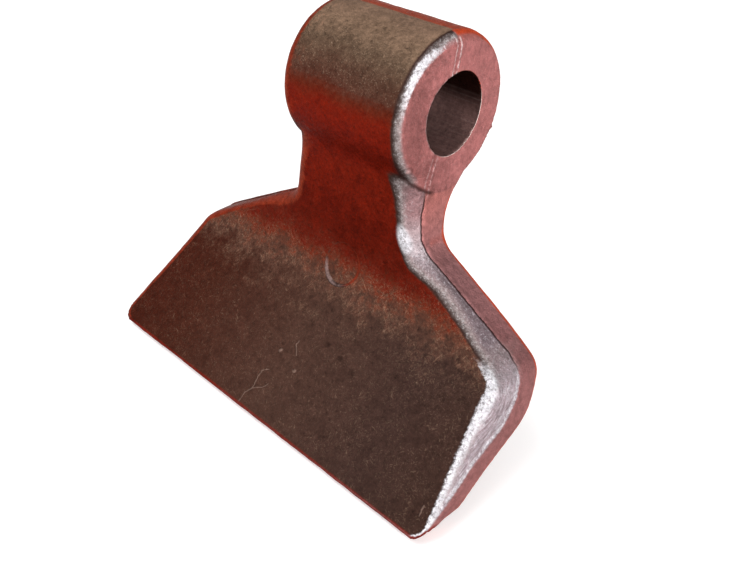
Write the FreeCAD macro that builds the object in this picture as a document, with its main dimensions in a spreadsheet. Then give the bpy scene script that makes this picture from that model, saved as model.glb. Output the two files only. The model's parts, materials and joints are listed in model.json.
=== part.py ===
import FreeCAD, Part
import math
import os
import Sketcher

# Forged hammer blade for a mulching rotor, in millimetres.
# Origin at the bore's centre. X runs along the bore and the blade's width,
# the front face looks towards -Y and +Z is up. The blade hangs on its pin:
# boss at the top, neck below it, and a wide foot that bends forward to its edge.

doc = FreeCAD.newDocument("mulcher_hammer")
sheet = doc.addObject("Spreadsheet::Sheet", "sizes")

SIZES = [
    # Boss and bore
    ("bore_radius", 12.75),
    ("boss_radius", 24.0),
    ("boss_length", 50.8),
    ("boss_end_draft", 2.6),
    ("boss_end_round", 4.4),
    ("boss_parting", 6.6),
    ("boss_parting_tilt", 10.0),
    # Side profile: neck thickness, forward bend and wedge-shaped foot.
    # Bend and heel are measured from the shoulders, up and down.
    ("neck_front", 16.3),
    ("neck_rear", 0.5),
    ("bend_rise", 5.7),
    ("bend_round", 26.0),
    ("edge_reach", 57.4),
    ("edge_drop", 96.4),
    ("edge_thickness", 4.0),
    ("heel_fall", 13.2),
    ("heel_round", 24.8),
    # Blends that carry the neck's front and rear into the boss; the rear one is
    # measured up from the neck's lower corners
    ("blend_bite", 1.2),
    ("front_blend_angle", 10.0),
    ("front_blend_drop", 20.3),
    ("front_blend_round", 38.0),
    ("rear_blend_angle", 54.0),
    ("rear_blend_rise", 10.4),
    ("rear_blend_round", 14.0),
    # Outline seen from the front, at the parting line
    ("neck_top_width", 48.4),
    ("neck_low_width", 56.0),
    ("neck_drop", 40.4),
    ("neck_corner_round", 8.0),
    ("shoulder_inset", 5.7),
    ("shoulder_drop", 63.5),
    ("shoulder_round", 8.5),
    ("foot_width", 149.6),
    ("foot_corner_round", 12.5),
    ("corner_margin", 1.0),
    ("parting_depth", 9.6),
    ("side_draft", 3.6),
    # Edge rounding, which runs out towards the thin edge of the foot
    ("front_round_neck", 6.4),
    ("front_round_shoulder", 4.6),
    ("front_round_side", 4.8),
    ("front_round_end", 2.2),
    ("rear_round", 3.2),
    ("rear_round_end", 1.0),
    # Shallow round die mark on the front bend
    ("mark_radius", 7.2),
    ("mark_angle", 20.0),
    ("mark_depth", 0.5),
]
for row, (name, value) in enumerate(SIZES, start=1):
    sheet.set(f"A{row}", name)
    sheet.set(f"B{row}", str(value))
    sheet.setAlias(f"B{row}", name)
doc.recompute()


def size(name):
    """Current value of one named size."""
    return float(getattr(sheet, name))


def origin_plane(body, role):
    """One of the body's own origin planes."""
    return next(f for f in body.Origin.OriginFeatures if f.Role == role)


def polygon_sketch(body, name, role, corners):
    """Closed polygon whose corners follow pairs of rules in the sheet's names."""
    sketch = body.newObject("Sketcher::SketchObject", name)
    sketch.AttachmentSupport = [(origin_plane(body, role), "")]
    sketch.MapMode = "FlatFace"
    count = len(corners)
    turn = 2 * math.pi / count
    ring = [FreeCAD.Vector(math.cos(i * turn), math.sin(i * turn), 0) for i in range(count)]
    for i in range(count):
        sketch.addGeometry(Part.LineSegment(ring[i], ring[(i + 1) % count]), False)
    for i in range(count):
        sketch.addConstraint(Sketcher.Constraint("Coincident", i, 2, (i + 1) % count, 1))
    for i, (x_rule, y_rule) in enumerate(corners):
        across = sketch.addConstraint(Sketcher.Constraint("DistanceX", -1, 1, i, 1, ring[i].x))
        sketch.setExpression(f"Constraints[{across}]", x_rule)
        along = sketch.addConstraint(Sketcher.Constraint("DistanceY", -1, 1, i, 1, ring[i].y))
        sketch.setExpression(f"Constraints[{along}]", y_rule)
    doc.recompute()
    return sketch


def mirrored(corners):
    """Corners of the right half, then the same ones on the left in reverse."""
    return corners + [(f"-({x})", y) for x, y in reversed(corners)]


def round_edges(body, name, chosen, rule):
    """Fillet of one radius on the chosen edges of the body's tip."""
    base = body.Tip
    names = [f"Edge{i}" for i, edge in enumerate(base.Shape.Edges, start=1) if chosen(edge)]
    fillet = body.newObject("PartDesign::Fillet", name)
    fillet.Base = (base, names)
    fillet.setExpression("Radius", rule)
    doc.recompute()
    return fillet


def through_corner(corner, axis_a, axis_b):
    """Test for a straight edge that starts and ends at one corner of a sketch."""
    def test(edge):
        ends = [vertex.Point for vertex in edge.Vertexes]
        return all(
            abs(getattr(end, axis_a) - corner[0]) < 0.01 and abs(getattr(end, axis_b) - corner[1]) < 0.01
            for end in ends
        )
    return test


# Side form: the profile of neck and foot, swept along the whole width
bend_drop = "(sizes.shoulder_drop - sizes.bend_rise)"
heel_drop = "(sizes.shoulder_drop + sizes.heel_fall)"
rear_blend_drop = "(sizes.neck_drop - sizes.rear_blend_rise)"
bend_corner = (-size("neck_front"), size("bend_rise") - size("shoulder_drop"))
heel_corner = (size("neck_rear"), -size("shoulder_drop") - size("heel_fall"))
front_blend_corner = (-size("neck_front"), -size("front_blend_drop"))
rear_blend_corner = (size("neck_rear"), size("rear_blend_rise") - size("neck_drop"))
slope = f"atan2(sizes.edge_drop - {bend_drop}; sizes.edge_reach - sizes.neck_front)"
bite = "(sizes.boss_radius - sizes.blend_bite)"
side_form = doc.addObject("PartDesign::Body", "side_form")
side_sketch = polygon_sketch(side_form, "side_outline", "YZ_Plane", [
    (f"-{bite} * cos(sizes.front_blend_angle * 1 deg)", f"-{bite} * sin(sizes.front_blend_angle * 1 deg)"),
    ("-sizes.neck_front", "-sizes.front_blend_drop"),
    ("-sizes.neck_front", f"-{bend_drop}"),
    ("-sizes.edge_reach", "-sizes.edge_drop"),
    (f"-sizes.edge_reach + sizes.edge_thickness * sin({slope})",
     f"-sizes.edge_drop - sizes.edge_thickness * cos({slope})"),
    ("sizes.neck_rear", f"-{heel_drop}"),
    ("sizes.neck_rear", f"-{rear_blend_drop}"),
    (f"{bite} * cos(sizes.rear_blend_angle * 1 deg)", f"-{bite} * sin(sizes.rear_blend_angle * 1 deg)"),
])
side_pad = side_form.newObject("PartDesign::Pad", "side_pad")
side_pad.Profile = side_sketch
side_pad.SideType = "Symmetric"
side_pad.setExpression("Length", "sizes.foot_width + 2 * sizes.boss_radius")
doc.recompute()
for name, corner, rule in (
    ("front_blend", front_blend_corner, "sizes.front_blend_round"),
    ("front_bend", bend_corner, "sizes.bend_round"),
    ("heel", heel_corner, "sizes.heel_round"),
    ("rear_blend", rear_blend_corner, "sizes.rear_blend_round"),
):
    round_edges(side_form, name, through_corner(corner, "y", "z"), rule)

# Plan form: the outline seen from the front, drafted both ways from the parting
below = "3 * sizes.edge_thickness"
shoulder_half = "(sizes.foot_width / 2 - sizes.shoulder_inset)"
shoulder_x = size("foot_width") / 2 - size("shoulder_inset")
foot_half = (
    "(sizes.foot_width / 2 + (sizes.edge_reach - sizes.parting_depth) * tan(sizes.side_draft * 1 deg))"
)
flare = f"({foot_half} - {shoulder_half}) / (sizes.edge_drop - sizes.shoulder_drop)"
plan_corners = [
    ("sizes.neck_top_width / 2", "0 mm"),
    ("sizes.neck_low_width / 2", "-sizes.neck_drop"),
    (shoulder_half, "-sizes.shoulder_drop"),
    (f"{foot_half} + {below} * {flare}", f"-sizes.edge_drop - {below}"),
]


def at_corner(x, z):
    """Test for a side edge that starts at one corner of the parting line's outline."""
    def test(edge):
        ends = [vertex.Point for vertex in edge.Vertexes]
        starts = [p for p in ends if math.dist((abs(p.x), p.y, p.z), (x, -size("parting_depth"), z)) < 0.01]
        return len(starts) == 1 and abs(ends[0].y - ends[1].y) > 1
    return test


def die_half(name, rear):
    """Outline pad on one side of the parting, narrowed by the draft, with rounded corners."""
    body = doc.addObject("PartDesign::Body", name)
    sketch = polygon_sketch(body, f"{name}_outline", "XZ_Plane", mirrored(plan_corners))
    sketch.setExpression("AttachmentOffset.Base.z", "sizes.parting_depth")
    pad = body.newObject("PartDesign::Pad", f"{name}_pad")
    pad.Profile = sketch
    pad.Reversed = rear
    pad.setExpression("Length", "sizes.boss_radius + sizes.parting_depth" if rear else "sizes.edge_reach")
    doc.recompute()
    faces = list(enumerate(pad.Shape.Faces, start=1))
    sides = [f"Face{i}" for i, face in faces if abs(face.normalAt(0, 0).x) > 0.1]
    parting = [f"Face{i}" for i, face in faces if abs(face.CenterOfMass.y + size("parting_depth")) < 0.01]
    draft = body.newObject("PartDesign::Draft", f"{name}_draft")
    draft.Base = (pad, sides)
    draft.NeutralPlane = (pad, parting)
    draft.Reversed = not rear
    draft.Angle = size("side_draft")
    doc.recompute()
    draft.setExpression("Angle", "sizes.side_draft")
    doc.recompute()
    for label, x, z, rule in (
        ("neck", size("neck_low_width") / 2, -size("neck_drop"), "sizes.neck_corner_round"),
        ("shoulders", shoulder_x, -size("shoulder_drop"), "sizes.shoulder_round"),
    ):
        round_edges(body, f"{name}_{label}", at_corner(x, z), rule)
    return body


plan_form = doc.addObject("Part::MultiFuse", "plan_form")
plan_form.Shapes = [die_half("front_half", False), die_half("rear_half", True)]
blank = doc.addObject("Part::MultiCommon", "blank")
blank.Shapes = [side_form, plan_form]
doc.recompute()


def middle_normal(face):
    """Outward normal at the middle of a face."""
    u0, u1, v0, v1 = face.ParameterRange
    return face.normalAt((u0 + u1) / 2, (v0 + v1) / 2)


def outline_edges(shape, is_rim):
    """Edges between a drafted side and a face of the side profile that passes the test."""
    found = []
    for number, edge in enumerate(shape.Edges, start=1):
        normals = [middle_normal(face) for face in shape.ancestorsOfType(edge, Part.Face)]
        sides = [n for n in normals if abs(n.x) > 0.2]
        rims = [n for n in normals if abs(n.x) < 0.001 and is_rim(n)]
        if sides and rims:
            found.append((number, edge))
    return found


def rim_radii(edges, neck, shoulder, side, end):
    """Edge list for a fillet whose radius changes from neck to shoulder, side and foot tip."""
    neck_x = size("neck_low_width") / 2
    shoulder_z = -size("shoulder_drop")
    tip_z = -size("edge_drop") + 1.0

    def radius(point):
        if point.z < tip_z:
            return end
        if point.z < shoulder_z:
            return side
        share = (abs(point.x) - neck_x) / (shoulder_x - neck_x)
        return neck + (shoulder - neck) * min(max(share, 0), 1)

    return [
        (number, radius(edge.valueAt(edge.FirstParameter)), radius(edge.valueAt(edge.LastParameter)))
        for number, edge in edges
    ]


# Edge rounding: wide on the front, smaller on the rear, running out at the foot's edge
front_rounded = doc.addObject("Part::Fillet", "front_rounded")
front_rounded.Base = blank
front_rounded.Edges = rim_radii(
    outline_edges(blank.Shape, lambda n: n.y < -0.3 and n.z > -0.3),
    size("front_round_neck"), size("front_round_shoulder"),
    size("front_round_side"), size("front_round_end"),
)
doc.recompute()
rounded = doc.addObject("Part::Fillet", "rounded")
rounded.Base = front_rounded
rounded.Edges = rim_radii(
    outline_edges(front_rounded.Shape, lambda n: n.y > 0.2 and n.z < 0.5),
    size("rear_round"), size("rear_round"), size("rear_round"), size("rear_round_end"),
)
doc.recompute()

# Boss: a cylinder with rounded rims, whose ends are drafted both ways from the tilted parting
boss_rod = doc.addObject("Part::Cylinder", "boss_rod")
boss_rod.setExpression("Radius", "sizes.boss_radius")
boss_rod.setExpression("Height", "sizes.boss_length")
boss_rod.setExpression("Placement.Base.x", "-sizes.boss_length / 2")
boss_rod.Placement.Rotation = FreeCAD.Rotation(FreeCAD.Vector(0, 1, 0), 90)
doc.recompute()
rims = [i for i, edge in enumerate(boss_rod.Shape.Edges, start=1) if len(edge.Vertexes) == 1]
rounded_rod = doc.addObject("Part::Fillet", "rounded_rod")
rounded_rod.Base = boss_rod
rounded_rod.Edges = [(number, size("boss_end_round"), size("boss_end_round")) for number in rims]
doc.recompute()

boss_ends = doc.addObject("PartDesign::Body", "boss_ends")
far = "2 * sizes.boss_radius"
inset = f"{far} * tan(sizes.boss_end_draft * 1 deg)"
end_sketch = polygon_sketch(boss_ends, "end_outline", "XY_Plane", [
    ("sizes.boss_length / 2", "0 mm"),
    (f"sizes.boss_length / 2 - {inset}", far),
    (f"-sizes.boss_length / 2 + {inset}", far),
    ("-sizes.boss_length / 2", "0 mm"),
    (f"-sizes.boss_length / 2 + {inset}", f"-{far}"),
    (f"sizes.boss_length / 2 - {inset}", f"-{far}"),
])
end_pad = boss_ends.newObject("PartDesign::Pad", "end_pad")
end_pad.Profile = end_sketch
end_pad.SideType = "Symmetric"
end_pad.setExpression("Length", f"2 * {far}")
boss_ends.Placement.Rotation = FreeCAD.Rotation(FreeCAD.Vector(1, 0, 0), -size("boss_parting_tilt"))
boss_ends.setExpression("Placement.Base.y", "-sizes.boss_parting")

boss = doc.addObject("Part::MultiCommon", "boss")
boss.Shapes = [rounded_rod, boss_ends]

forging = doc.addObject("Part::MultiFuse", "forging")
forging.Shapes = [rounded, boss]

# Rounded lower corners of the foot
corner_form = doc.addObject("PartDesign::Body", "corner_form")
trim_half = "sizes.foot_width / 2 + sizes.corner_margin"
trim_low = f"-sizes.edge_drop - sizes.edge_thickness * cos({slope})"
corner_sketch = polygon_sketch(corner_form, "corner_outline", "XZ_Plane", mirrored([
    (trim_half, "2 * sizes.boss_radius"),
    (trim_half, trim_low),
]))
corner_pad = corner_form.newObject("PartDesign::Pad", "corner_pad")
corner_pad.Profile = corner_sketch
corner_pad.SideType = "Symmetric"
corner_pad.setExpression("Length", "3 * sizes.edge_reach")
doc.recompute()
low = min(vertex.Z for vertex in corner_pad.Shape.Vertexes)
round_edges(
    corner_form, "foot_corners",
    lambda edge: all(abs(vertex.Z - low) < 0.01 for vertex in edge.Vertexes)
    and abs(edge.Vertexes[0].Y - edge.Vertexes[1].Y) > 1,
    "sizes.foot_corner_round",
)
trimmed = doc.addObject("Part::MultiCommon", "trimmed")
trimmed.Shapes = [forging, corner_form]

# Bore through the boss
bore = doc.addObject("Part::Cylinder", "bore")
bore.setExpression("Radius", "sizes.bore_radius")
bore.setExpression("Height", "2 * sizes.boss_length")
bore.setExpression("Placement.Base.x", "-sizes.boss_length")
bore.Placement.Rotation = FreeCAD.Rotation(FreeCAD.Vector(0, 1, 0), 90)
bored = doc.addObject("Part::Cut", "bored")
bored.Base = trimmed
bored.Tool = bore

# Round die mark: a shallow step of even depth that follows the front bend
turn = f"(90 deg - {slope})"
bend_y = "-sizes.neck_front - sizes.bend_round"
bend_z = f"-{bend_drop} + sizes.bend_round * tan({turn} / 2)"
mark_sweep = doc.addObject("Part::Cylinder", "mark_sweep")
mark_sweep.setExpression("Radius", "sizes.bend_round + sizes.mark_depth")
mark_sweep.setExpression("Height", "4 * sizes.mark_radius")
mark_sweep.setExpression("Placement.Base.x", "-2 * sizes.mark_radius")
mark_sweep.setExpression("Placement.Base.y", bend_y)
mark_sweep.setExpression("Placement.Base.z", bend_z)
mark_sweep.Placement.Rotation = FreeCAD.Rotation(FreeCAD.Vector(0, 1, 0), 90)
mark_pin = doc.addObject("Part::Cylinder", "mark_pin")
mark_pin.setExpression("Radius", "sizes.mark_radius")
mark_pin.setExpression("Height", "2 * sizes.bend_round")
mark_pin.setExpression("Placement.Base.y", bend_y)
mark_pin.setExpression("Placement.Base.z", bend_z)
mark_pin.Placement.Rotation = FreeCAD.Rotation(FreeCAD.Vector(1, 0, 0), -90 - size("mark_angle"))
mark = doc.addObject("Part::MultiCommon", "mark")
mark.Shapes = [mark_sweep, mark_pin]

hammer = doc.addObject("Part::Cut", "hammer_blade")
hammer.Base = bored
hammer.Tool = mark
hammer.Label = "hammer_blade"
doc.recompute()

# Check and write
for item in doc.Objects:
    if {"Invalid", "Error"} & set(item.State):
        raise RuntimeError(f"{item.Name}: {item.State}")
    shape = getattr(item, "Shape", None)
    if shape is not None and item is not sheet and (shape.isNull() or not shape.isValid()):
        raise RuntimeError(f"{item.Name}: bad shape")
if len(hammer.Shape.Solids) != 1:
    raise RuntimeError("the forging is one solid")
for cut, before in ((bored, trimmed), (hammer, bored), (trimmed, forging)):
    if cut.Shape.Volume >= before.Shape.Volume:
        raise RuntimeError(f"{cut.Name} removes nothing")

os.makedirs("parts", exist_ok=True)
hammer.Shape.exportStep("parts/hammer_blade.step")
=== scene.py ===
import bpy
import json
import math
import numpy as np
from mathutils import Matrix, Vector, noise

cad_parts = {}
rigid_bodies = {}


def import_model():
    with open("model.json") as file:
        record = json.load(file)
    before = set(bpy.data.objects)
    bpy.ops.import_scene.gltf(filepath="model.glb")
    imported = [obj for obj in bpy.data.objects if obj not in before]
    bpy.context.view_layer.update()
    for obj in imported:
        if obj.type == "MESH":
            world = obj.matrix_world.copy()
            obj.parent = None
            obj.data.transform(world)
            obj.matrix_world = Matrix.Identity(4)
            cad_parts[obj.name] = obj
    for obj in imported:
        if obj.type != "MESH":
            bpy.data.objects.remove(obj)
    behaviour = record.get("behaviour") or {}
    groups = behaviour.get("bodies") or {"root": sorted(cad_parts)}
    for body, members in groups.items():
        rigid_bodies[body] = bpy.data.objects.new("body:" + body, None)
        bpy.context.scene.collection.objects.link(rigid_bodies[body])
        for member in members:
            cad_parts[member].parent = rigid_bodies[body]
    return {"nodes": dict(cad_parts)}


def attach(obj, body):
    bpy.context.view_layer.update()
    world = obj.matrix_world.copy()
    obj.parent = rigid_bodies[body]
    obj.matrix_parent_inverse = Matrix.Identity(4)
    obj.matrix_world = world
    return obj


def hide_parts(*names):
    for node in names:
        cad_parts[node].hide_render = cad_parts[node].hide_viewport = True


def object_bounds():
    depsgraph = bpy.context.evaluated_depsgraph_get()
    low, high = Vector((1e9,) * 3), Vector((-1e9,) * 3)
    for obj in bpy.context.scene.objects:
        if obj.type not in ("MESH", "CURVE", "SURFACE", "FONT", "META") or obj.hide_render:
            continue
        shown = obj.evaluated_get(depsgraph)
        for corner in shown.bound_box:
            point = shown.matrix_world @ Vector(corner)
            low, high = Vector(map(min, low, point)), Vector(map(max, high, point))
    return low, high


# Start from an empty scene, so that the first box is the CAD model's own
for leftover in list(bpy.data.objects):
    bpy.data.objects.remove(leftover)
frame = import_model()
cad_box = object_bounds()
node = frame["nodes"]["hammer_blade"]

MM = 0.001


# Camera, from the photograph's perspective
IMAGE_WIDTH = 750
FOCAL_PIXELS = 850.99
CAMERA_AT_MM = Vector((166.877, -189.588, 88.509))
CAMERA_RIGHT = Vector((0.718824, 0.691945, 0.067120))
CAMERA_DOWN = Vector((0.409801, -0.343761, -0.844921))
CAMERA_FORWARD = Vector((-0.561565, 0.634855, -0.530663))

camera_data = bpy.data.cameras.new("camera")
camera_data.sensor_fit = "HORIZONTAL"
camera_data.sensor_width = 36.0
camera_data.lens = 36.0 * FOCAL_PIXELS / IMAGE_WIDTH
camera_data.clip_start = 0.01
camera = bpy.data.objects.new("camera", camera_data)
turn = Matrix((CAMERA_RIGHT, -CAMERA_DOWN, -CAMERA_FORWARD)).transposed().to_4x4()
camera.matrix_world = Matrix.Translation(CAMERA_AT_MM * MM) @ turn
bpy.context.scene.collection.objects.link(camera)
bpy.context.scene.camera = camera


# Geometry helpers
def path_place(points, path):
    """Signed distance from a polyline, length along it and a softened normal, for 2D points."""
    path = np.array(path, float)
    gaps, signs, lengths, outward = [], [], [], []
    start = 0.0
    for index, (a, b) in enumerate(zip(path[:-1], path[1:])):
        span = b - a
        run = np.linalg.norm(span)
        u = span / run
        offset = points - a
        t = offset @ u
        low = -1e9 if index == 0 else 0.0
        high = 1e9 if index == len(path) - 2 else run
        near = offset - np.clip(t, low, high)[:, None] * u
        gaps.append(np.linalg.norm(near, axis=1))
        signs.append(np.sign(u[0] * offset[:, 1] - u[1] * offset[:, 0]))
        lengths.append(start + t)
        outward.append((-u[1], u[0]))
        start += run
    gaps = np.array(gaps)
    nearest = gaps.argmin(axis=0)
    rows = np.arange(len(points))
    shortest = gaps[nearest, rows]
    weights = np.exp(-(gaps - shortest) / 3.0)
    normal = weights.T @ np.array(outward)
    normal /= np.linalg.norm(normal, axis=1)[:, None]
    return shortest * np.array(signs)[nearest, rows], np.array(lengths)[nearest, rows], normal


def noise_field(points, size, seed):
    """Smooth noise from -1 to 1, with features of one size in millimetres."""
    shift = Vector((seed * 17.3, seed * 5.1, seed * 9.7))
    return np.array([noise.noise(Vector(p) / size + shift) for p in points])


def smooth_step(values, low, high):
    t = np.clip((values - low) / (high - low), 0, 1)
    return t * t * (3 - 2 * t)


def unit(vectors):
    return vectors / np.maximum(np.linalg.norm(vectors, axis=1), 1e-9)[:, None]


def vertex_array(target, name="co"):
    """Vertex positions in millimetres as an array."""
    values = np.empty(len(target.vertices) * 3)
    target.vertices.foreach_get(name, values)
    return values.reshape(-1, 3) / MM


# The parting line in side view (y, z) from the boss top to the foot's tip, in millimetres
PARTING = [
    (-1.0, 30.0), (-1.8, 21.9), (-2.6, 14.0), (-4.9, 0.0), (-7.1, -11.4), (-9.9, -17.4), (-11.3, -23.1),
    (-12.3, -29.3), (-12.2, -36.9), (-11.0, -41.0), (-10.5, -46.0), (-10.2, -56.0), (-10.0, -60.0),
    (-11.6, -64.7), (-14.0, -70.1), (-17.7, -73.9), (-21.5, -76.9), (-28.7, -79.9), (-36.0, -83.2),
    (-46.3, -89.0), (-54.2, -93.5), (-60.0, -97.0),
]
# The outline in front view (x, z), from the foot's corner up to the boss
OUTLINE = [(74.0, -99.0), (69.0, -63.5), (26.5, -40.0), (24.5, -30.0), (24.0, 30.0)]
BORE_RADIUS = 12.75
BOSS_RADIUS = 24.0
FOOT_LEAN = math.radians(46.8)
# Round die mark on the front bend: the bend's axis (y, z), its radius and the mark's tilt
BEND_AXIS = (-42.3, -46.55)
BEND_RADIUS = 26.0
MARK_RADIUS = 7.2
MARK_TILT = math.radians(20.0)
MARK_DEPTH = 0.5
# Nub low on the right end face and burr behind it (x, y, z)
NUB = (24.3, -18.0, -13.4)
BURR = (24.1, 20.5, -9.2)
VOXEL_MM = 0.78


def remeshed(source):
    """Even mesh over the solid's surface, close enough to carry small relief."""
    piece = bpy.data.objects.new("forging", source.data.copy())
    bpy.context.scene.collection.objects.link(piece)
    remesh = piece.modifiers.new("remesh", "REMESH")
    remesh.mode = "VOXEL"
    remesh.voxel_size = VOXEL_MM * MM
    wrap = piece.modifiers.new("wrap", "SHRINKWRAP")
    wrap.target = source
    wrap.wrap_method = "NEAREST_SURFACEPOINT"
    depsgraph = bpy.context.evaluated_depsgraph_get()
    mesh = bpy.data.meshes.new_from_object(piece.evaluated_get(depsgraph))
    piece.modifiers.clear()
    piece.data = mesh
    mesh.name = "forging"
    mesh.polygons.foreach_set("use_smooth", [True] * len(mesh.polygons))
    return piece


def sharpen_bore(target, spots, source_spots):
    """Moves the nearest vertices onto the two rims of the bore, and keeps those rims sharp."""
    ends = np.array([edge.vertices[:] for edge in target.edges])
    snapped = np.zeros(len(spots), bool)
    for sign in (1, -1):
        gap = np.hypot(source_spots[:, 1], source_spots[:, 2])
        rim = source_spots[(np.abs(gap - BORE_RADIUS) < 0.02) & (sign * source_spots[:, 0] > 0)]
        turn = np.arctan2(rim[:, 2], rim[:, 1])
        order = np.argsort(turn)
        own_turn = np.arctan2(spots[:, 2], spots[:, 1])
        rim_x = np.interp(own_turn, turn[order], np.abs(rim[order, 0]), period=2 * math.pi)
        gap = np.hypot(spots[:, 1], spots[:, 2])
        near = (sign * spots[:, 0] > 0) & (gap < BORE_RADIUS + 3)
        on_wall = near & (gap < BORE_RADIUS + 0.06) & (np.abs(spots[:, 0]) < rim_x - 0.03)
        on_face = near & ~on_wall
        a, b = ends[:, 0], ends[:, 1]
        crossing = (on_wall[a] & on_face[b]) | (on_wall[b] & on_face[a])
        distance = np.hypot(gap - BORE_RADIUS, np.abs(spots[:, 0]) - rim_x)
        chosen = np.unique(np.where(distance[a] < distance[b], a, b)[crossing])
        scale = BORE_RADIUS / gap[chosen]
        spots[chosen, 1] *= scale
        spots[chosen, 2] *= scale
        spots[chosen, 0] = sign * rim_x[chosen]
        snapped[chosen] = True
    sharp = target.attributes.new("sharp_edge", "BOOLEAN", "EDGE")
    sharp.data.foreach_set("value", snapped[ends[:, 0]] & snapped[ends[:, 1]])
    return snapped


forging = remeshed(node)
mesh = forging.data
spots = vertex_array(mesh)
on_rim = sharpen_bore(mesh, spots, vertex_array(node.data))
mesh.vertices.foreach_set("co", (spots * MM).ravel())
mesh.update()
count = len(spots)
flat_normals = np.empty(count * 3)

SOFT_CORNER = (-16.9, -17.0)
SOFT_PASSES = 70


def mark_gap(points):
    """Distance from the middle of the round die mark, across its own direction."""
    rise = math.sin(MARK_TILT) * (points[:, 1] - BEND_AXIS[0])
    rise += math.cos(MARK_TILT) * (points[:, 2] - BEND_AXIS[1])
    return np.hypot(points[:, 0], rise)


# Soft hollow where the boss meets the neck's front
ends = np.array([edge.vertices[:] for edge in mesh.edges])
from_corner = np.hypot(spots[:, 1] - SOFT_CORNER[0], spots[:, 2] - SOFT_CORNER[1])
softness = (1 - smooth_step(from_corner, 3.5, 7.5)) * (1 - smooth_step(np.abs(spots[:, 0]), 18.0, 22.0))
held = softness > 0
ends = ends[held[ends[:, 0]] | held[ends[:, 1]]]
degree = np.maximum(np.bincount(ends.ravel(), minlength=count), 1)
for _ in range(SOFT_PASSES):
    mean = np.empty_like(spots)
    for column in range(3):
        total = np.bincount(ends[:, 0], spots[ends[:, 1], column], count)
        total += np.bincount(ends[:, 1], spots[ends[:, 0], column], count)
        mean[:, column] = total / degree
    spots[held] += (0.5 * softness[:, None] * (mean - spots))[held]

# The mark's step, drawn evenly round its edge
gap_from_axis = np.hypot(spots[:, 1] - BEND_AXIS[0], spots[:, 2] - BEND_AXIS[1])
near_mark = mark_gap(spots) < MARK_RADIUS + 2
near_mark &= (np.abs(gap_from_axis - BEND_RADIUS) < 1.2) & (spots[:, 1] > BEND_AXIS[0])
wanted = BEND_RADIUS + MARK_DEPTH * (1 - smooth_step(mark_gap(spots), MARK_RADIUS - 0.5, MARK_RADIUS + 0.4))
stretch = wanted[near_mark] / gap_from_axis[near_mark]
for column, middle_line in ((1, BEND_AXIS[0]), (2, BEND_AXIS[1])):
    spots[near_mark, column] = middle_line + (spots[near_mark, column] - middle_line) * stretch
mesh.vertices.foreach_set("co", (spots * MM).ravel())
mesh.update()
mesh.vertex_normals.foreach_get("vector", flat_normals)
normals = flat_normals.reshape(-1, 3)

crease, _, _ = path_place(spots[:, 1:3], PARTING)
mirror = np.sign(spots[:, 0])
_, along, outward = path_place(np.c_[np.abs(spots[:, 0]), spots[:, 2]], OUTLINE)
axis_gap = np.hypot(spots[:, 1], spots[:, 2])
inside_bore = smooth_step(-axis_gap, -13.1, -12.9)

# How far each normal has turned from the front surface (0) past the side (1) to the rear (2)
lean = np.clip(np.arctan2(BEND_AXIS[1] - spots[:, 2], spots[:, 1] - BEND_AXIS[0]), 0, FOOT_LEAN)
front = np.c_[np.zeros(count), -np.cos(lean), np.sin(lean)]
radial = unit(np.c_[np.zeros(count), spots[:, 1], spots[:, 2]])
on_boss = 1 - smooth_step(axis_gap, BOSS_RADIUS + 0.4, BOSS_RADIUS + 2.4)
front = unit(front * (1 - on_boss)[:, None] + radial * on_boss[:, None])
sideways = np.c_[outward[:, 0] * -mirror, np.zeros(count), -outward[:, 1]]
sideways = np.where(sideways[:, [0]] * mirror[:, None] < 0, -sideways, sideways)
flat_side = np.c_[mirror, np.zeros(count), np.zeros(count)]
sideways = unit(sideways * (1 - on_boss)[:, None] + flat_side * on_boss[:, None])
whole = np.arccos(np.clip((front * sideways).sum(1), -0.9, 0.9))
turn_share = np.arccos(np.clip((front * normals).sum(1), -1, 1)) / whole
# Boss and neck: by how far the normal leaves the plane across the bore alone
upper = smooth_step(spots[:, 2], -42.0, -34.0)
lateral = np.arcsin(np.clip(np.abs(normals[:, 0]), 0, 1)) / (math.pi / 2)
faces_back = (normals[:, 1] > 0) & (on_boss < 0.5)
upper_turn = np.where(faces_back, 2 - lateral, lateral)
turn_share = turn_share * (1 - upper) + upper_turn * upper

# Relief: uneven forged skin, and a trimmed parting line on the sides
side = smooth_step(turn_share, 0.6, 0.9) * (1 - smooth_step(turn_share, 1.3, 1.6))
skin = 0.15 * noise_field(spots, 16.0, 1) + 0.08 * noise_field(spots, 5.0, 2)
skin += 0.05 * noise_field(spots, 2.0, 3)
ragged = crease + 0.25 * noise_field(spots, 4.0, 4)
strip = smooth_step(ragged, -0.2, 0.3) * smooth_step(-ragged, -2.6, -0.8)
groove = np.exp(-((ragged + 0.35) / 0.5) ** 2)
relief = skin - 0.06 + (0.28 * strip - 0.22 * groove) * side
for spot, rise, width in ((NUB, 0.55, 0.95), (BURR, 0.5, 0.8)):
    relief += rise * np.exp(-(np.linalg.norm(spots - np.array(spot), axis=1) / width) ** 2)
relief *= (1 - inside_bore) * (1 - on_rim)
moved = (spots + normals * relief[:, None]) * MM
mesh.vertices.foreach_set("co", moved.ravel())
mesh.update()


def store(name, kind, values):
    attribute = mesh.attributes.new(name, kind, "POINT")
    attribute.data.foreach_set("vector" if kind == "FLOAT_VECTOR" else "value", values.ravel())


store("form_normal", "FLOAT_VECTOR", normals)
store("crease", "FLOAT", crease)
store("along", "FLOAT", along)
store("turn", "FLOAT", turn_share)
store("boss", "FLOAT", on_boss)
print("forging:", count, "vertices,", sum(len(p.vertices) - 2 for p in mesh.polygons), "triangles")


# Material nodes
def srgb(red, green, blue):
    """Linear colour from the usual 0 to 255 values."""
    def linear(level):
        level /= 255
        return level / 12.92 if level <= 0.04045 else ((level + 0.055) / 1.055) ** 2.4
    return (linear(red), linear(green), linear(blue), 1.0)


# Pale white for painted highlights and for worn bright lines
HIGHLIGHT_AND_WEAR_WHITE = srgb(216, 213, 218)


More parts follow.
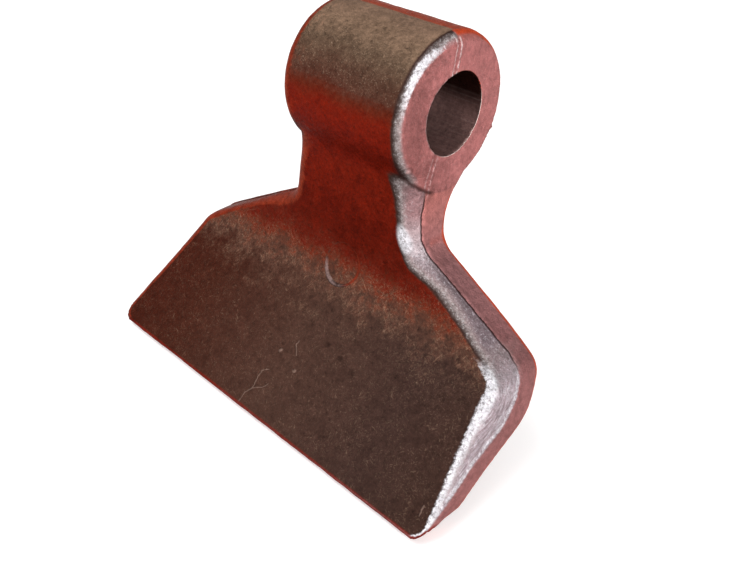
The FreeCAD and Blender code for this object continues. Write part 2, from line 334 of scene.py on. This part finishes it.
class Graph:
    """Short calls for building a node tree."""

    def __init__(self, tree):
        self.tree = tree
        tree.nodes.clear()

    def node(self, kind, **settings):
        made = self.tree.nodes.new(kind)
        for key, value in settings.items():
            setattr(made, key, value)
        return made

    def put(self, value, socket):
        if isinstance(value, bpy.types.NodeSocket):
            self.tree.links.new(value, socket)
        else:
            socket.default_value = value

    def math(self, operation, a, b=0.0, c=0.0, clamp=False):
        made = self.node("ShaderNodeMath", operation=operation, use_clamp=clamp)
        self.put(a, made.inputs[0])
        self.put(b, made.inputs[1])
        self.put(c, made.inputs[2])
        return made.outputs[0]

    def times(self, value, *others):
        """Product of all the values."""
        for other in others:
            value = self.math("MULTIPLY", value, other)
        return value

    def plus(self, value, *others):
        """Sum of all the values."""
        for other in others:
            value = self.math("ADD", value, other)
        return value

    def spread(self, noise_value, width):
        """Noise centred on zero, scaled to a width."""
        return self.math("MULTIPLY", self.math("SUBTRACT", noise_value, 0.5), width)

    def split(self, vector):
        made = self.node("ShaderNodeSeparateXYZ")
        self.put(vector, made.inputs[0])
        return made.outputs

    def length(self, parts):
        total = None
        for part in parts:
            square = self.math("MULTIPLY", part, part)
            total = square if total is None else self.math("ADD", total, square)
        return self.math("SQRT", total)

    def turned(self, vector, angle, shift):
        """Coordinates turned about a slanted axis and shifted, for streaks in one direction."""
        made = self.node("ShaderNodeVectorRotate")
        self.put(vector, made.inputs["Vector"])
        made.inputs["Axis"].default_value = (0.1, -0.75, 0.65)
        made.inputs["Center"].default_value = (shift, 0.0, shift)
        made.inputs["Angle"].default_value = angle
        return made.outputs[0]

    def step(self, value, low, high, kind="SMOOTHSTEP"):
        made = self.node("ShaderNodeMapRange", interpolation_type=kind)
        self.put(value, made.inputs["Value"])
        self.put(low, made.inputs["From Min"])
        self.put(high, made.inputs["From Max"])
        return made.outputs["Result"]

    def band(self, value, low, high, soft):
        rise = self.step(value, low - soft, low + soft)
        fall = self.step(value, high - soft, high + soft)
        return self.math("SUBTRACT", rise, fall, clamp=True)

    def mix(self, share, a, b, blend="MIX"):
        made = self.node("ShaderNodeMix", data_type="RGBA", blend_type=blend)
        self.put(share, made.inputs[0])
        self.put(a, made.inputs[6])
        self.put(b, made.inputs[7])
        return made.outputs[2]

    def blend(self, share, a, b):
        made = self.node("ShaderNodeMix", data_type="FLOAT")
        self.put(share, made.inputs[0])
        self.put(a, made.inputs[2])
        self.put(b, made.inputs[3])
        return made.outputs[0]

    def scaled(self, vector, factors):
        made = self.node("ShaderNodeVectorMath", operation="MULTIPLY")
        self.put(vector, made.inputs[0])
        made.inputs[1].default_value = factors
        return made.outputs[0]

    def noise(self, at, scale, detail=2.0, roughness=0.5, distortion=0.0):
        made = self.node("ShaderNodeTexNoise")
        self.put(at, made.inputs["Vector"])
        made.inputs["Scale"].default_value = scale
        made.inputs["Detail"].default_value = detail
        made.inputs["Roughness"].default_value = roughness
        made.inputs["Distortion"].default_value = distortion
        return made.outputs["Fac"]

    def ramp(self, value, stops):
        made = self.node("ShaderNodeValToRGB")
        elements = made.color_ramp.elements
        while len(elements) < len(stops):
            elements.new(0.5)
        for element, (position, colour) in zip(elements, stops):
            element.position = position
            element.color = colour
        self.put(value, made.inputs[0])
        return made.outputs[0]

    def attribute(self, name, output="Fac"):
        return self.node("ShaderNodeAttribute", attribute_name=name).outputs[output]


material = bpy.data.materials.new("forged_steel_raw")
material.use_nodes = True
g = Graph(material.node_tree)

place = g.scaled(g.node("ShaderNodeTexCoord").outputs["Object"], (1000.0, 1000.0, 1000.0))
x, y, z = g.split(place)
form = g.attribute("form_normal", "Vector")
nx, ny, nz = g.split(form)
line = g.attribute("crease")
run = g.attribute("along")
turned = g.attribute("turn")
boss_share = g.attribute("boss")

broad = g.noise(place, 1 / 22.0, 3.0, 0.55)
middle = g.noise(place, 1 / 6.0, 4.0, 0.6)
fine = g.noise(place, 1 / 1.7, 4.0, 0.65)
grain = g.noise(place, 1 / 0.5, 3.0, 0.7)

# Blade front: red from the neck to the bend, then dark scale that reddens to the left
drop = g.math("MULTIPLY_ADD", x, -0.04, z)
drop = g.plus(drop, g.spread(broad, 16.0))
drop = g.plus(drop, g.spread(middle, 12.0))
drop = g.plus(drop, g.spread(fine, 12.0))
fall = g.ramp(g.step(drop, -74.0, -14.0, "LINEAR"), [
    (0.00, srgb(68, 46, 38)), (0.12, srgb(74, 50, 41)), (0.20, srgb(84, 55, 45)),
    (0.26, srgb(96, 53, 40)), (0.31, srgb(104, 40, 25)), (0.36, srgb(95, 24, 12)),
    (0.60, srgb(92, 19, 7)), (0.85, srgb(108, 24, 9)), (1.00, srgb(112, 26, 12)),
])
across = g.ramp(g.step(x, -75.0, 75.0, "LINEAR"), [
    (0.00, srgb(66, 26, 17)), (0.20, srgb(66, 33, 24)), (0.50, srgb(73, 50, 42)),
    (0.80, srgb(61, 43, 38)), (1.00, srgb(58, 40, 34)),
])
blade = g.mix(g.step(drop, -60.0, -70.0), fall, across)

# Boss: pale brown on top, through dark scale to red below
slope = g.plus(nz, g.spread(broad, 0.26))
slope = g.plus(slope, g.spread(middle, 0.12))
slope = g.plus(slope, g.spread(fine, 0.22))
slope = g.math("MULTIPLY_ADD", slope, 0.5, 0.5)
boss = g.ramp(slope, [
    (0.00, srgb(96, 20, 8)), (0.36, srgb(108, 22, 8)), (0.49, srgb(110, 25, 10)),
    (0.57, srgb(92, 34, 20)), (0.64, srgb(80, 48, 38)), (0.72, srgb(80, 54, 43)),
    (0.84, srgb(90, 71, 57)), (0.93, srgb(122, 98, 80)), (1.00, srgb(132, 106, 88)),
])
boss = g.mix(g.times(g.step(line, 0.2, 1.2), g.step(line, 15.0, 8.0)), boss, srgb(156, 66, 46))
boss_rear = g.mix(g.step(middle, 0.3, 0.7), srgb(92, 50, 38), srgb(112, 70, 56))
boss = g.mix(g.step(line, 7.0, 13.0), boss, boss_rear)
skin_colour = g.mix(boss_share, blade, boss)

# Light flecks and short scratches in the scale, dark pits between them
flecks = g.step(g.noise(place, 1.7, 3.0, 0.8, 0.4), 0.56, 0.70)
scratch = None
for angle, seed in ((0.4, 3.0), (1.25, 41.0), (2.4, 83.0)):
    streak = g.noise(g.scaled(g.turned(place, angle, seed), (0.5, 2.2, 2.2)), 1.0, 3.0, 0.6, 0.7)
    streak = g.step(streak, 0.62, 0.72)
    scratch = streak if scratch is None else g.math("MAXIMUM", scratch, streak)
marks = g.math("MAXIMUM", g.times(flecks, 0.8), g.times(scratch, 0.9))
marks = g.times(marks, g.step(middle, 0.30, 0.60))
scaled_part = g.math("MAXIMUM", g.step(drop, -50.0, -58.0), g.times(boss_share, g.step(slope, 0.58, 0.70)))
scaled_part = g.plus(g.times(scaled_part, 0.7), g.times(g.band(drop, -63.0, -54.0, 4.0), 0.5))
marks = g.times(marks, g.plus(0.12, g.times(scaled_part, 0.9)))
skin_colour = g.mix(g.times(marks, 0.42), skin_colour, srgb(166, 136, 114))
dots = g.times(g.step(g.noise(place, 2.1, 2.0, 0.7), 0.60, 0.70), g.band(nz, 0.25, 0.88, 0.12))
dots = g.times(dots, boss_share, g.step(line, 0.5, -0.5))
skin_colour = g.mix(g.times(dots, 0.45), skin_colour, srgb(166, 142, 122))
hairs = None
for angle, seed in ((0.7, 17.0), (2.0, 59.0)):
    hair = g.noise(g.scaled(g.turned(place, angle, seed), (0.36, 2.5, 2.5)), 1.0, 3.0, 0.65, 1.0)
    hair = g.step(hair, 0.56, 0.66)
    hairs = hair if hairs is None else g.math("MAXIMUM", hairs, hair)
hair_zone = g.times(g.band(drop, -68.0, -50.0, 6.0), g.math("SUBTRACT", 1.0, boss_share))
hairs = g.times(hairs, hair_zone, g.step(middle, 0.35, 0.62))
skin_colour = g.mix(g.times(hairs, 0.28), skin_colour, srgb(176, 140, 114))
pits = g.step(g.noise(place, 0.9, 3.0, 0.75), 0.42, 0.30)
skin_colour = g.mix(g.times(pits, 0.40), skin_colour, srgb(38, 22, 18))

# Sides ahead of the parting line: pinkish on the neck with a painted highlight at its bend, grey on the
# slopes, and pale and streaked below as a painted highlight
streaked = g.node("ShaderNodeCombineXYZ")
g.put(g.times(run, 0.30), streaked.inputs[0])
g.put(g.times(line, 1.2), streaked.inputs[1])
g.put(g.times(turned, 3.0), streaked.inputs[2])
streaks = g.noise(streaked.outputs[0], 1.0, 5.0, 0.78, 1.2)
speckle = g.noise(place, 1.25, 4.0, 0.85)
low_side = g.step(z, -61.0, -66.0)
ahead = g.ramp(g.step(z, -100.0, 0.0, "LINEAR"), [
    (0.00, srgb(142, 126, 131)), (0.33, srgb(144, 126, 131)), (0.38, srgb(136, 121, 126)),
    (0.44, srgb(122, 106, 110)), (0.55, srgb(126, 110, 113)), (0.60, srgb(164, 150, 153)),
    (0.66, srgb(166, 144, 146)), (0.72, srgb(138, 104, 105)), (0.82, srgb(136, 103, 104)),
    (1.00, srgb(140, 94, 92)),
])
# Painted highlight below the shoulders in pale streaks, with darker streaks between them
ahead = g.mix(g.times(g.step(streaks, 0.42, 0.66), g.times(low_side, 0.55)), ahead, HIGHLIGHT_AND_WEAR_WHITE)
ahead = g.mix(g.times(g.step(streaks, 0.48, 0.34), g.times(low_side, 0.6)), ahead, srgb(116, 96, 100))
on_slope = g.band(z, -62.0, -38.0, 3.0)
flecked = g.step(speckle, 0.52, 0.68)
ahead = g.mix(g.times(flecked, g.blend(on_slope, 0.18, 0.70)), ahead, srgb(204, 198, 204))
ahead = g.mix(g.times(g.step(speckle, 0.46, 0.32), g.blend(on_slope, 0.12, 0.5)), ahead, srgb(72, 62, 64))
behind = g.ramp(g.step(z, -100.0, 0.0, "LINEAR"), [
    (0.00, srgb(138, 90, 88)), (0.36, srgb(138, 92, 91)), (0.55, srgb(146, 102, 102)),
    (0.78, srgb(168, 103, 97)), (1.00, srgb(170, 106, 102)),
])
end_place = g.plus(g.math("MULTIPLY_ADD", z, 0.3, y), g.spread(middle, 14.0), g.spread(fine, 14.0))
end_face = g.mix(g.step(end_place, -20.0, 3.0), srgb(136, 84, 82), srgb(164, 103, 101))
end_face = g.mix(g.times(flecked, 0.20), end_face, srgb(200, 160, 158))
side_colour = g.mix(g.step(line, -0.3, 0.3), ahead, behind)
end_share = g.step(g.length((y, z)), 24.3, 23.6)
side_colour = g.mix(end_share, side_colour, end_face)

# Painted highlight on the edges whose normals face the side softbox's reflection, more where they lie below
# the shoulders, and a painted highlight patch on the neck's bend
HIGHLIGHT_NORMAL = (0.70, -0.55, 0.45)
HIGHLIGHT_PATCH_CENTRE = (23.4, -36.8)
toward_highlight = None
for part, share in zip((nx, ny, nz), HIGHLIGHT_NORMAL):
    step_part = g.times(part, share)
    toward_highlight = step_part if toward_highlight is None else g.plus(toward_highlight, step_part)
toward_highlight = g.plus(toward_highlight, g.spread(fine, 0.10))
toward_highlight = g.plus(toward_highlight, g.spread(speckle, 0.12))
toward_highlight = g.plus(toward_highlight, g.times(g.spread(streaks, 0.14), low_side))
neck = g.times(g.band(z, -46.0, -16.0, 3.0), g.step(g.length((y, z)), 23.2, 26.0))
shoulder = g.band(z, -61.0, -42.0, 3.0)
painted_highlight = g.step(toward_highlight, 0.90, 0.985)
painted_highlight = g.times(painted_highlight, g.step(turned, 0.10, 0.26))
painted_highlight = g.times(painted_highlight, g.blend(g.step(z, 1.0, 14.0), 0.28, 1.0))
painted_highlight = g.times(painted_highlight, g.step(z, -25.0, -20.0))
# Painted highlight streak along the rounded front edge below the shoulders
low_highlight_streak = g.plus(turned, g.spread(fine, 0.22))
low_highlight_streak = g.plus(low_highlight_streak, g.spread(streaks, 0.30))
low_highlight_streak = g.plus(low_highlight_streak, g.spread(speckle, 0.14))
wider = g.times(g.step(z, -76.0, -65.0), 0.32)
streak_end = g.step(g.math("SUBTRACT", low_highlight_streak, wider), 0.62, 0.36)
low_highlight_streak = g.times(g.step(low_highlight_streak, 0.10, 0.22), streak_end, g.step(z, -59.5, -62.5))
low_highlight_streak = g.times(low_highlight_streak, g.times(g.step(x, 30.0, 50.0), g.step(turned, 0.03, 0.10)))
painted_highlight = g.math("MAXIMUM", painted_highlight, low_highlight_streak)
# Painted highlight patch on the neck's bend
patch_x = g.math("SUBTRACT", x, HIGHLIGHT_PATCH_CENTRE[0])
patch_z = g.math("SUBTRACT", z, HIGHLIGHT_PATCH_CENTRE[1])
patch_u = g.plus(g.times(patch_x, 0.92), g.times(patch_z, 0.38))
patch_v = g.plus(g.times(patch_x, -0.38), g.times(patch_z, 0.92))
highlight_patch = g.length((g.times(patch_u, 0.42), g.times(patch_v, 0.19)))
highlight_patch = g.plus(highlight_patch, g.spread(speckle, 0.9))
highlight_patch = g.times(g.step(highlight_patch, 1.15, 0.55), g.step(ny, -0.1, -0.4))
painted_highlight = g.math("MAXIMUM", painted_highlight, highlight_patch)
painted_highlight = g.times(painted_highlight, g.blend(g.step(speckle, 0.36, 0.54), 0.30, 1.0))
edge_place = g.plus(turned, g.spread(fine, 0.14))
edge_place = g.plus(edge_place, g.spread(middle, 0.08))
neck_rim = g.math("MULTIPLY_ADD", z, 0.27, 4.6)
neck_rim = g.step(g.plus(x, neck_rim), 14.6, 20.5)
edge_place = g.plus(edge_place, g.times(neck, neck_rim, 0.36))
corner = g.times(g.band(z, -66.0, -57.0, 2.0), g.step(x, 56.0, 62.0))
edge_place = g.math("SUBTRACT", edge_place, g.times(shoulder, 0.17))
edge_place = g.math("SUBTRACT", edge_place, g.times(corner, 0.20))
on_round = g.step(turned, 0.03, 0.09)
edge_place = g.plus(edge_place, g.times(g.step(z, -66.0, -70.0), on_round, 0.07))
# Rim tone by how far the normal has turned: a painted dark reflection where the front turns into the rim,
# then grey with light and dark flecks towards the side
edge_tone_and_shade = g.ramp(edge_place, [
    (0.06, srgb(62, 42, 36)), (0.16, srgb(58, 42, 38)), (0.30, srgb(98, 86, 84)),
    (0.46, srgb(144, 130, 129)), (0.70, srgb(152, 128, 127)),
])
past_rim = g.step(edge_place, 0.14, 0.34)
edge_tone_and_shade = g.mix(g.times(g.step(speckle, 0.50, 0.66), 0.50, past_rim), edge_tone_and_shade, srgb(206, 204, 204))
edge_tone_and_shade = g.mix(g.times(g.step(speckle, 0.47, 0.34), 0.50, past_rim), edge_tone_and_shade, srgb(62, 56, 50))
colour = g.mix(g.step(edge_place, 0.03, 0.14), skin_colour, edge_tone_and_shade)
colour = g.mix(g.step(edge_place, 0.42, 0.80), colour, side_colour)
# Painted highlight laid over the colour
colour = g.mix(g.times(painted_highlight, 0.9), colour, srgb(216, 214, 219))

# Behind the parting line the boss rims turn pink, with a painted orange reflection at their outer edge; the
# rear faces turn red-brown, the grazing rear edges get the same painted orange reflection, and all the
# edges that face left a painted red reflection
rim_behind = g.times(boss_share, g.step(line, -0.6, 0.8), g.step(turned, 0.85, 0.55))
rim_behind = g.times(rim_behind, g.step(turned, 0.02, 0.14))
colour = g.mix(rim_behind, colour, srgb(168, 100, 94))
rim_reflection_edge = g.math("SUBTRACT", turned, g.times(g.step(y, 5.0, 18.0), 0.42))
rim_reflection_edge = g.times(rim_behind, g.step(rim_reflection_edge, 0.52, 0.34))
rear = g.step(turned, 1.22, 1.55)
orange_reflection = g.math("MAXIMUM", rim_reflection_edge, g.times(g.step(turned, 1.09, 1.22), g.step(turned, 1.80, 1.60)))
colour = g.mix(rear, colour, g.mix(g.step(middle, 0.3, 0.7), srgb(120, 62, 48), srgb(140, 74, 58)))
colour = g.mix(orange_reflection, colour, srgb(190, 72, 42))
left_reflection = g.times(g.step(nx, -0.10, -0.30), g.step(turned, 0.98, 0.80))
left_reflection = g.math("MAXIMUM", left_reflection, g.times(g.step(nx, -0.10, -0.30), g.math("SUBTRACT", 1.0, boss_share)))
left_half_reflection = g.times(g.step(x, -14.0, -20.0), g.step(edge_place, 0.0, 0.10))
left_half_reflection = g.times(left_half_reflection, g.math("MAXIMUM", on_round, g.step(z, -58.0, -52.0)))
left_reflection = g.math("MAXIMUM", left_reflection, g.times(left_half_reflection, g.step(turned, 1.2, 1.0)))
left_reflection = g.times(left_reflection, g.blend(boss_share, 1.0, g.step(turned, 0.9, 0.7)))
left_reflection_colour = g.mix(fine, srgb(112, 34, 18), srgb(146, 56, 34))
left_tip = g.mix(middle, srgb(102, 48, 36), srgb(124, 60, 46))
left_flat = g.mix(middle, srgb(104, 34, 20), srgb(124, 46, 30))
left_flat = g.mix(g.step(x, -60.0, -45.0), left_tip, left_flat)
left_reflection_colour = g.mix(g.step(turned, 0.70, 0.92), left_reflection_colour, left_flat)
colour = g.mix(g.times(left_reflection, 0.95), colour, left_reflection_colour)

# Bore: painted shade, dark above and paler below, with a painted highlight on part of its rim
gap = g.length((y, z))
bore = g.step(gap, 12.95, 12.80)
bore_shaded_colour = g.mix(g.step(nz, -0.35, 0.5), srgb(36, 16, 12), srgb(134, 101, 96))
bore_shaded_colour = g.mix(g.times(pits, 0.5), bore_shaded_colour, srgb(40, 24, 20))
colour = g.mix(bore, colour, bore_shaded_colour)
bore_rim_highlight = g.band(gap, 12.78, 13.02, 0.05)
bore_rim_highlight = g.times(bore_rim_highlight, g.step(g.plus(y, g.times(z, -1.0)), 4.0, 14.0))
colour = g.mix(g.times(bore_rim_highlight, 0.85), colour, srgb(236, 216, 210))

# Thin dark parting line, painted shade in its groove; pale double strip on the end faces, bright line below
# the shoulders
wander = g.plus(line, g.spread(middle, 0.9))
wander = g.plus(wander, g.spread(fine, 0.35))
on_side = g.band(turned, 0.50, 1.5, 0.10)
on_face = g.times(on_side, boss_share)
on_blade = g.times(on_side, g.math("SUBTRACT", 1.0, boss_share))
parting_line_shade = g.times(g.band(wander, -0.18, 0.18, 0.10), g.times(on_blade, g.step(z, -64.0, -60.0)))
low_line = g.times(g.band(wander, -1.5, -0.2, 0.35), g.times(on_blade, low_side))
low_line = g.times(low_line, g.step(x, 10.0, 20.0))
pale_strip = g.math("MAXIMUM", g.band(wander, -1.1, -0.5, 0.22), g.band(wander, 0.5, 1.1, 0.22))
pale_strip = g.times(pale_strip, on_face, g.step(fine, 0.36, 0.56))
between = g.times(g.band(wander, -0.35, 0.35, 0.2), on_face)
above_bore = g.step(z, -6.0, 8.0)
pale_strip = g.times(pale_strip, g.times(g.step(speckle, 0.34, 0.52), g.blend(above_bore, 0.35, 1.0)))
colour = g.mix(g.times(pale_strip, 0.85), colour, srgb(208, 188, 187))
colour = g.mix(g.times(between, 0.30), colour, srgb(112, 66, 64))
colour = g.mix(g.times(low_line, g.times(g.step(speckle, 0.42, 0.58), 0.8)), colour, HIGHLIGHT_AND_WEAR_WHITE)

# Painted shade round the boss's lower edge, in the crease where it stands out from the neck's side, and a
# softer painted shade below it
round_boss = g.plus(g.length((y, z)), g.spread(fine, 0.7))
near_end = g.times(g.step(y, -6.0, -9.5), g.step(g.math("ABSOLUTE", x), 19.0, 22.5))
crease_shade = g.times(g.band(round_boss, 23.3, 24.5, 0.5), g.step(z, -8.0, -13.0), near_end)
shade_below_boss = g.times(g.band(round_boss, 24.0, 26.6, 1.6), g.step(z, -12.0, -16.0), near_end)
colour = g.mix(g.times(shade_below_boss, 0.35), colour, srgb(70, 50, 50))
colour = g.mix(g.times(crease_shade, 0.85), colour, srgb(50, 28, 26))
# Painted shade in the parting line's groove
colour = g.mix(g.times(parting_line_shade, 0.85), colour, srgb(46, 28, 27))

# Small nub under the end face, with a painted shade in a dark loop round it and a painted highlight on its
# top
nub_gap = g.length([g.math("SUBTRACT", part, centre) for part, centre in zip((x, y, z), NUB)])
colour = g.mix(g.times(g.band(nub_gap, 1.15, 1.6, 0.35), 0.55), colour, srgb(58, 34, 32))
colour = g.mix(g.times(g.step(nub_gap, 1.0, 0.5), 0.6), colour, srgb(178, 140, 138))

# Die mark: thin ring with a painted highlight as a pale crescent on its lower left, where the recess's wall
# shows
MARK_SIN, MARK_COS = math.sin(MARK_TILT), math.cos(MARK_TILT)
rise = g.math("MULTIPLY_ADD", y, MARK_SIN, -BEND_AXIS[0] * MARK_SIN - BEND_AXIS[1] * MARK_COS)
rise = g.math("MULTIPLY_ADD", z, MARK_COS, rise)
ring_gap = g.plus(g.length((x, rise)), g.spread(fine, 0.5))
facing_front = g.step(ny, -0.3, -0.5)
ring = g.times(g.band(ring_gap, MARK_RADIUS - 0.25, MARK_RADIUS + 0.1, 0.2), facing_front)
crescent_highlight_side = g.math("MULTIPLY_ADD", x, -0.64, g.times(rise, -0.77))
crescent_highlight = g.band(ring_gap, MARK_RADIUS - 0.7, MARK_RADIUS + 0.25, 0.25)
crescent_highlight = g.times(crescent_highlight, g.step(crescent_highlight_side, 4.6, 6.4), facing_front)
colour = g.mix(g.times(ring, 0.22), colour, srgb(124, 66, 50))
colour = g.mix(g.times(crescent_highlight, 0.7), colour, srgb(134, 112, 108))


def ridge(points, width, slant=1.47):
    """Share of nearness to a thin crooked line on the foot, given as (x, z) in millimetres."""
    u = g.plus(x, g.spread(fine, 1.2))
    v = g.plus(g.times(z, slant), g.spread(middle, 1.6))
    nearest = None
    for (x0, z0), (x1, z1) in zip(points[:-1], points[1:]):
        du, dv = x1 - x0, (z1 - z0) * slant
        long_square = du * du + dv * dv
        pu = g.math("SUBTRACT", u, x0)
        pv = g.math("SUBTRACT", v, z0 * slant)
        t_u = g.times(pu, du / long_square)
        t_v = g.times(pv, dv / long_square)
        t = g.math("ADD", t_u, t_v, clamp=True)
        gap_u = g.math("SUBTRACT", pu, g.times(t, du))
        gap_v = g.math("SUBTRACT", pv, g.times(t, dv))
        away = g.length((gap_u, gap_v))
        nearest = away if nearest is None else g.math("MINIMUM", nearest, away)
    return g.times(g.step(nearest, width * 1.6, width * 0.5), facing_front, g.step(y, -30.0, -33.0))


def ridges(lines):
    """The largest share of several such lines, each given as its width and its points."""
    largest = None
    for width, points in lines:
        share = ridge(points, width)
        largest = share if largest is None else g.math("MAXIMUM", largest, share)
    return largest


# Raised cracks and scratches in the scale of the foot
cracks = ridges([
    (0.2, [(-6.2, -95.9), (-5.9, -93.4), (-4.4, -91.7), (-5.1, -88.8), (-5.1, -87.2), (-3.3, -86.2)]),
    (0.15, [(-4.4, -91.7), (-1.3, -90.2), (0.1, -88.9)]),
    (0.2, [(3.0, -80.1), (0.7, -78.3), (0.8, -77.2)]),
    (0.5, [(-3.6, -81.4), (-3.2, -81.0)]),
    (0.5, [(5.6, -83.3), (6.1, -83.0)]),
    (0.2, [(69.1, -92.1), (68.8, -90.0)]),
])
colour = g.mix(g.times(cracks, 0.40), colour, srgb(150, 124, 112))
holes = ridges([
    (0.8, [(17.6, -75.4), (18.2, -75.2)]),
    (0.9, [(24.0, -76.7), (24.8, -76.5)]),
    (0.6, [(10.7, -74.6), (11.3, -74.4)]),
])
colour = g.mix(g.times(holes, 0.55), colour, srgb(40, 26, 22))

# Thin red line along the cutting edge
lower_edge = g.times(g.step(nz, 0.45, 0.15), g.step(y, -50.0, -53.0))
lower_edge = g.math("MAXIMUM", lower_edge, g.step(y, -56.6, -57.0))
colour = g.mix(g.times(lower_edge, 0.9), colour, srgb(112, 30, 20))

# Mottling of light and dark over the whole colour
grit = g.times(g.spread(speckle, 1.1), g.step(turned, 0.5, 0.2))
mottle = g.plus(g.times(middle, 0.75), g.times(fine, 1.15))
mottle = g.plus(mottle, grit, 0.04)
tone = g.node("ShaderNodeCombineColor")
for socket in tone.inputs[:3]:
    g.put(mottle, socket)
colour = g.mix(1.0, colour, tone.outputs[0], "MULTIPLY")

# Bump and shader
bump = g.node("ShaderNodeBump")
bump.inputs["Strength"].default_value = 0.9
bump.inputs["Distance"].default_value = 0.0005
height = g.plus(g.times(fine, 0.9), g.times(grain, 0.5))
height = g.plus(height, g.times(marks, 0.3))
height = g.plus(height, g.times(cracks, 0.6))
height = g.plus(height, g.times(pale_strip, 0.35))
height = g.plus(height, g.times(streaks, low_side, 0.5))
height = g.math("SUBTRACT", height, g.times(pits, 0.25))
height = g.math("SUBTRACT", height, g.times(holes, 0.5))
height = g.math("SUBTRACT", height, g.times(parting_line_shade, 0.8))
height = g.times(height, g.blend(bore, 1.0, 0.4))
g.put(height, bump.inputs["Height"])

shader = g.node("ShaderNodeBsdfPrincipled")
g.put(colour, shader.inputs["Base Color"])
shader.inputs["Metallic"].default_value = 0.6
shader.inputs["Specular IOR Level"].default_value = 0.04
shader.inputs["Specular Tint"].default_value = (0.55, 0.45, 0.42, 1.0)
g.put(g.blend(g.step(middle, 0.3, 0.7), 0.36, 0.52), shader.inputs["Roughness"])
g.put(bump.outputs[0], shader.inputs["Normal"])
output = g.node("ShaderNodeOutputMaterial")
g.put(shader.outputs[0], output.inputs[0])

mesh.materials.clear()
mesh.materials.append(material)
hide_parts("hammer_blade")
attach(forging, "root")


# Floor, light and background
floor_level = cad_box[0].z
floor_mesh = bpy.data.meshes.new("floor")
reach = 4.0
corners = ((-reach, -reach), (reach, -reach), (reach, reach), (-reach, reach))
floor_mesh.from_pydata([(*corner, floor_level) for corner in corners], [], [(0, 1, 2, 3)])
floor = bpy.data.objects.new("floor", floor_mesh)
bpy.context.scene.collection.objects.link(floor)
floor_material = bpy.data.materials.new("pale_floor")
floor_material.use_nodes = True
g = Graph(floor_material.node_tree)
diffuse = g.node("ShaderNodeBsdfDiffuse")
diffuse.inputs["Color"].default_value = (0.86, 0.86, 0.86, 1.0)
glow = g.node("ShaderNodeEmission")
rays = g.node("ShaderNodeLightPath")
seen = g.math("MAXIMUM", rays.outputs["Is Camera Ray"], rays.outputs["Is Glossy Ray"])
seen = g.math("MAXIMUM", seen, rays.outputs["Is Transmission Ray"])
floor_place = g.split(g.node("ShaderNodeTexCoord").outputs["Object"])
far_off = g.step(g.length((floor_place[0], floor_place[1])), 0.3, 0.9)
g.put(g.times(seen, g.math("MULTIPLY_ADD", far_off, 0.7, 0.3)), glow.inputs["Strength"])
both = g.node("ShaderNodeAddShader")
g.put(diffuse.outputs[0], both.inputs[0])
g.put(glow.outputs[0], both.inputs[1])
output = g.node("ShaderNodeOutputMaterial")
g.put(both.outputs[0], output.inputs[0])
floor_mesh.materials.append(floor_material)

world = bpy.data.worlds.new("studio")
bpy.context.scene.world = world
world.use_nodes = True
g = Graph(world.node_tree)
rays = g.node("ShaderNodeLightPath")
seen = g.math("MAXIMUM", rays.outputs["Is Camera Ray"], rays.outputs["Is Transmission Ray"])
background = g.node("ShaderNodeBackground")
background.inputs["Color"].default_value = (1.0, 1.0, 1.0, 1.0)
g.put(g.blend(seen, 0.55, 1.0), background.inputs["Strength"])
output = g.node("ShaderNodeOutputWorld")
g.put(background.outputs[0], output.inputs[0])


def area_light(name, direction, distance, width, height, power, target=(0.0, -0.02, -0.04)):
    """Soft box that looks at the object from one direction."""
    data = bpy.data.lights.new(name, "AREA")
    data.shape = "RECTANGLE"
    data.size = width
    data.size_y = height
    data.energy = power
    light = bpy.data.objects.new(name, data)
    away = Vector(direction).normalized()
    light.location = Vector(target) + away * distance
    light.rotation_euler = away.to_track_quat("Z", "Y").to_euler()
    bpy.context.scene.collection.objects.link(light)
    return light


area_light("side_softbox", (0.88, -0.34, 0.30), 0.7, 0.25, 0.35, 4.0)
area_light("top_softbox", (-0.3, -0.5, 1.0), 0.9, 0.7, 0.7, 6.0)

bpy.context.scene.view_settings.view_transform = "Standard"
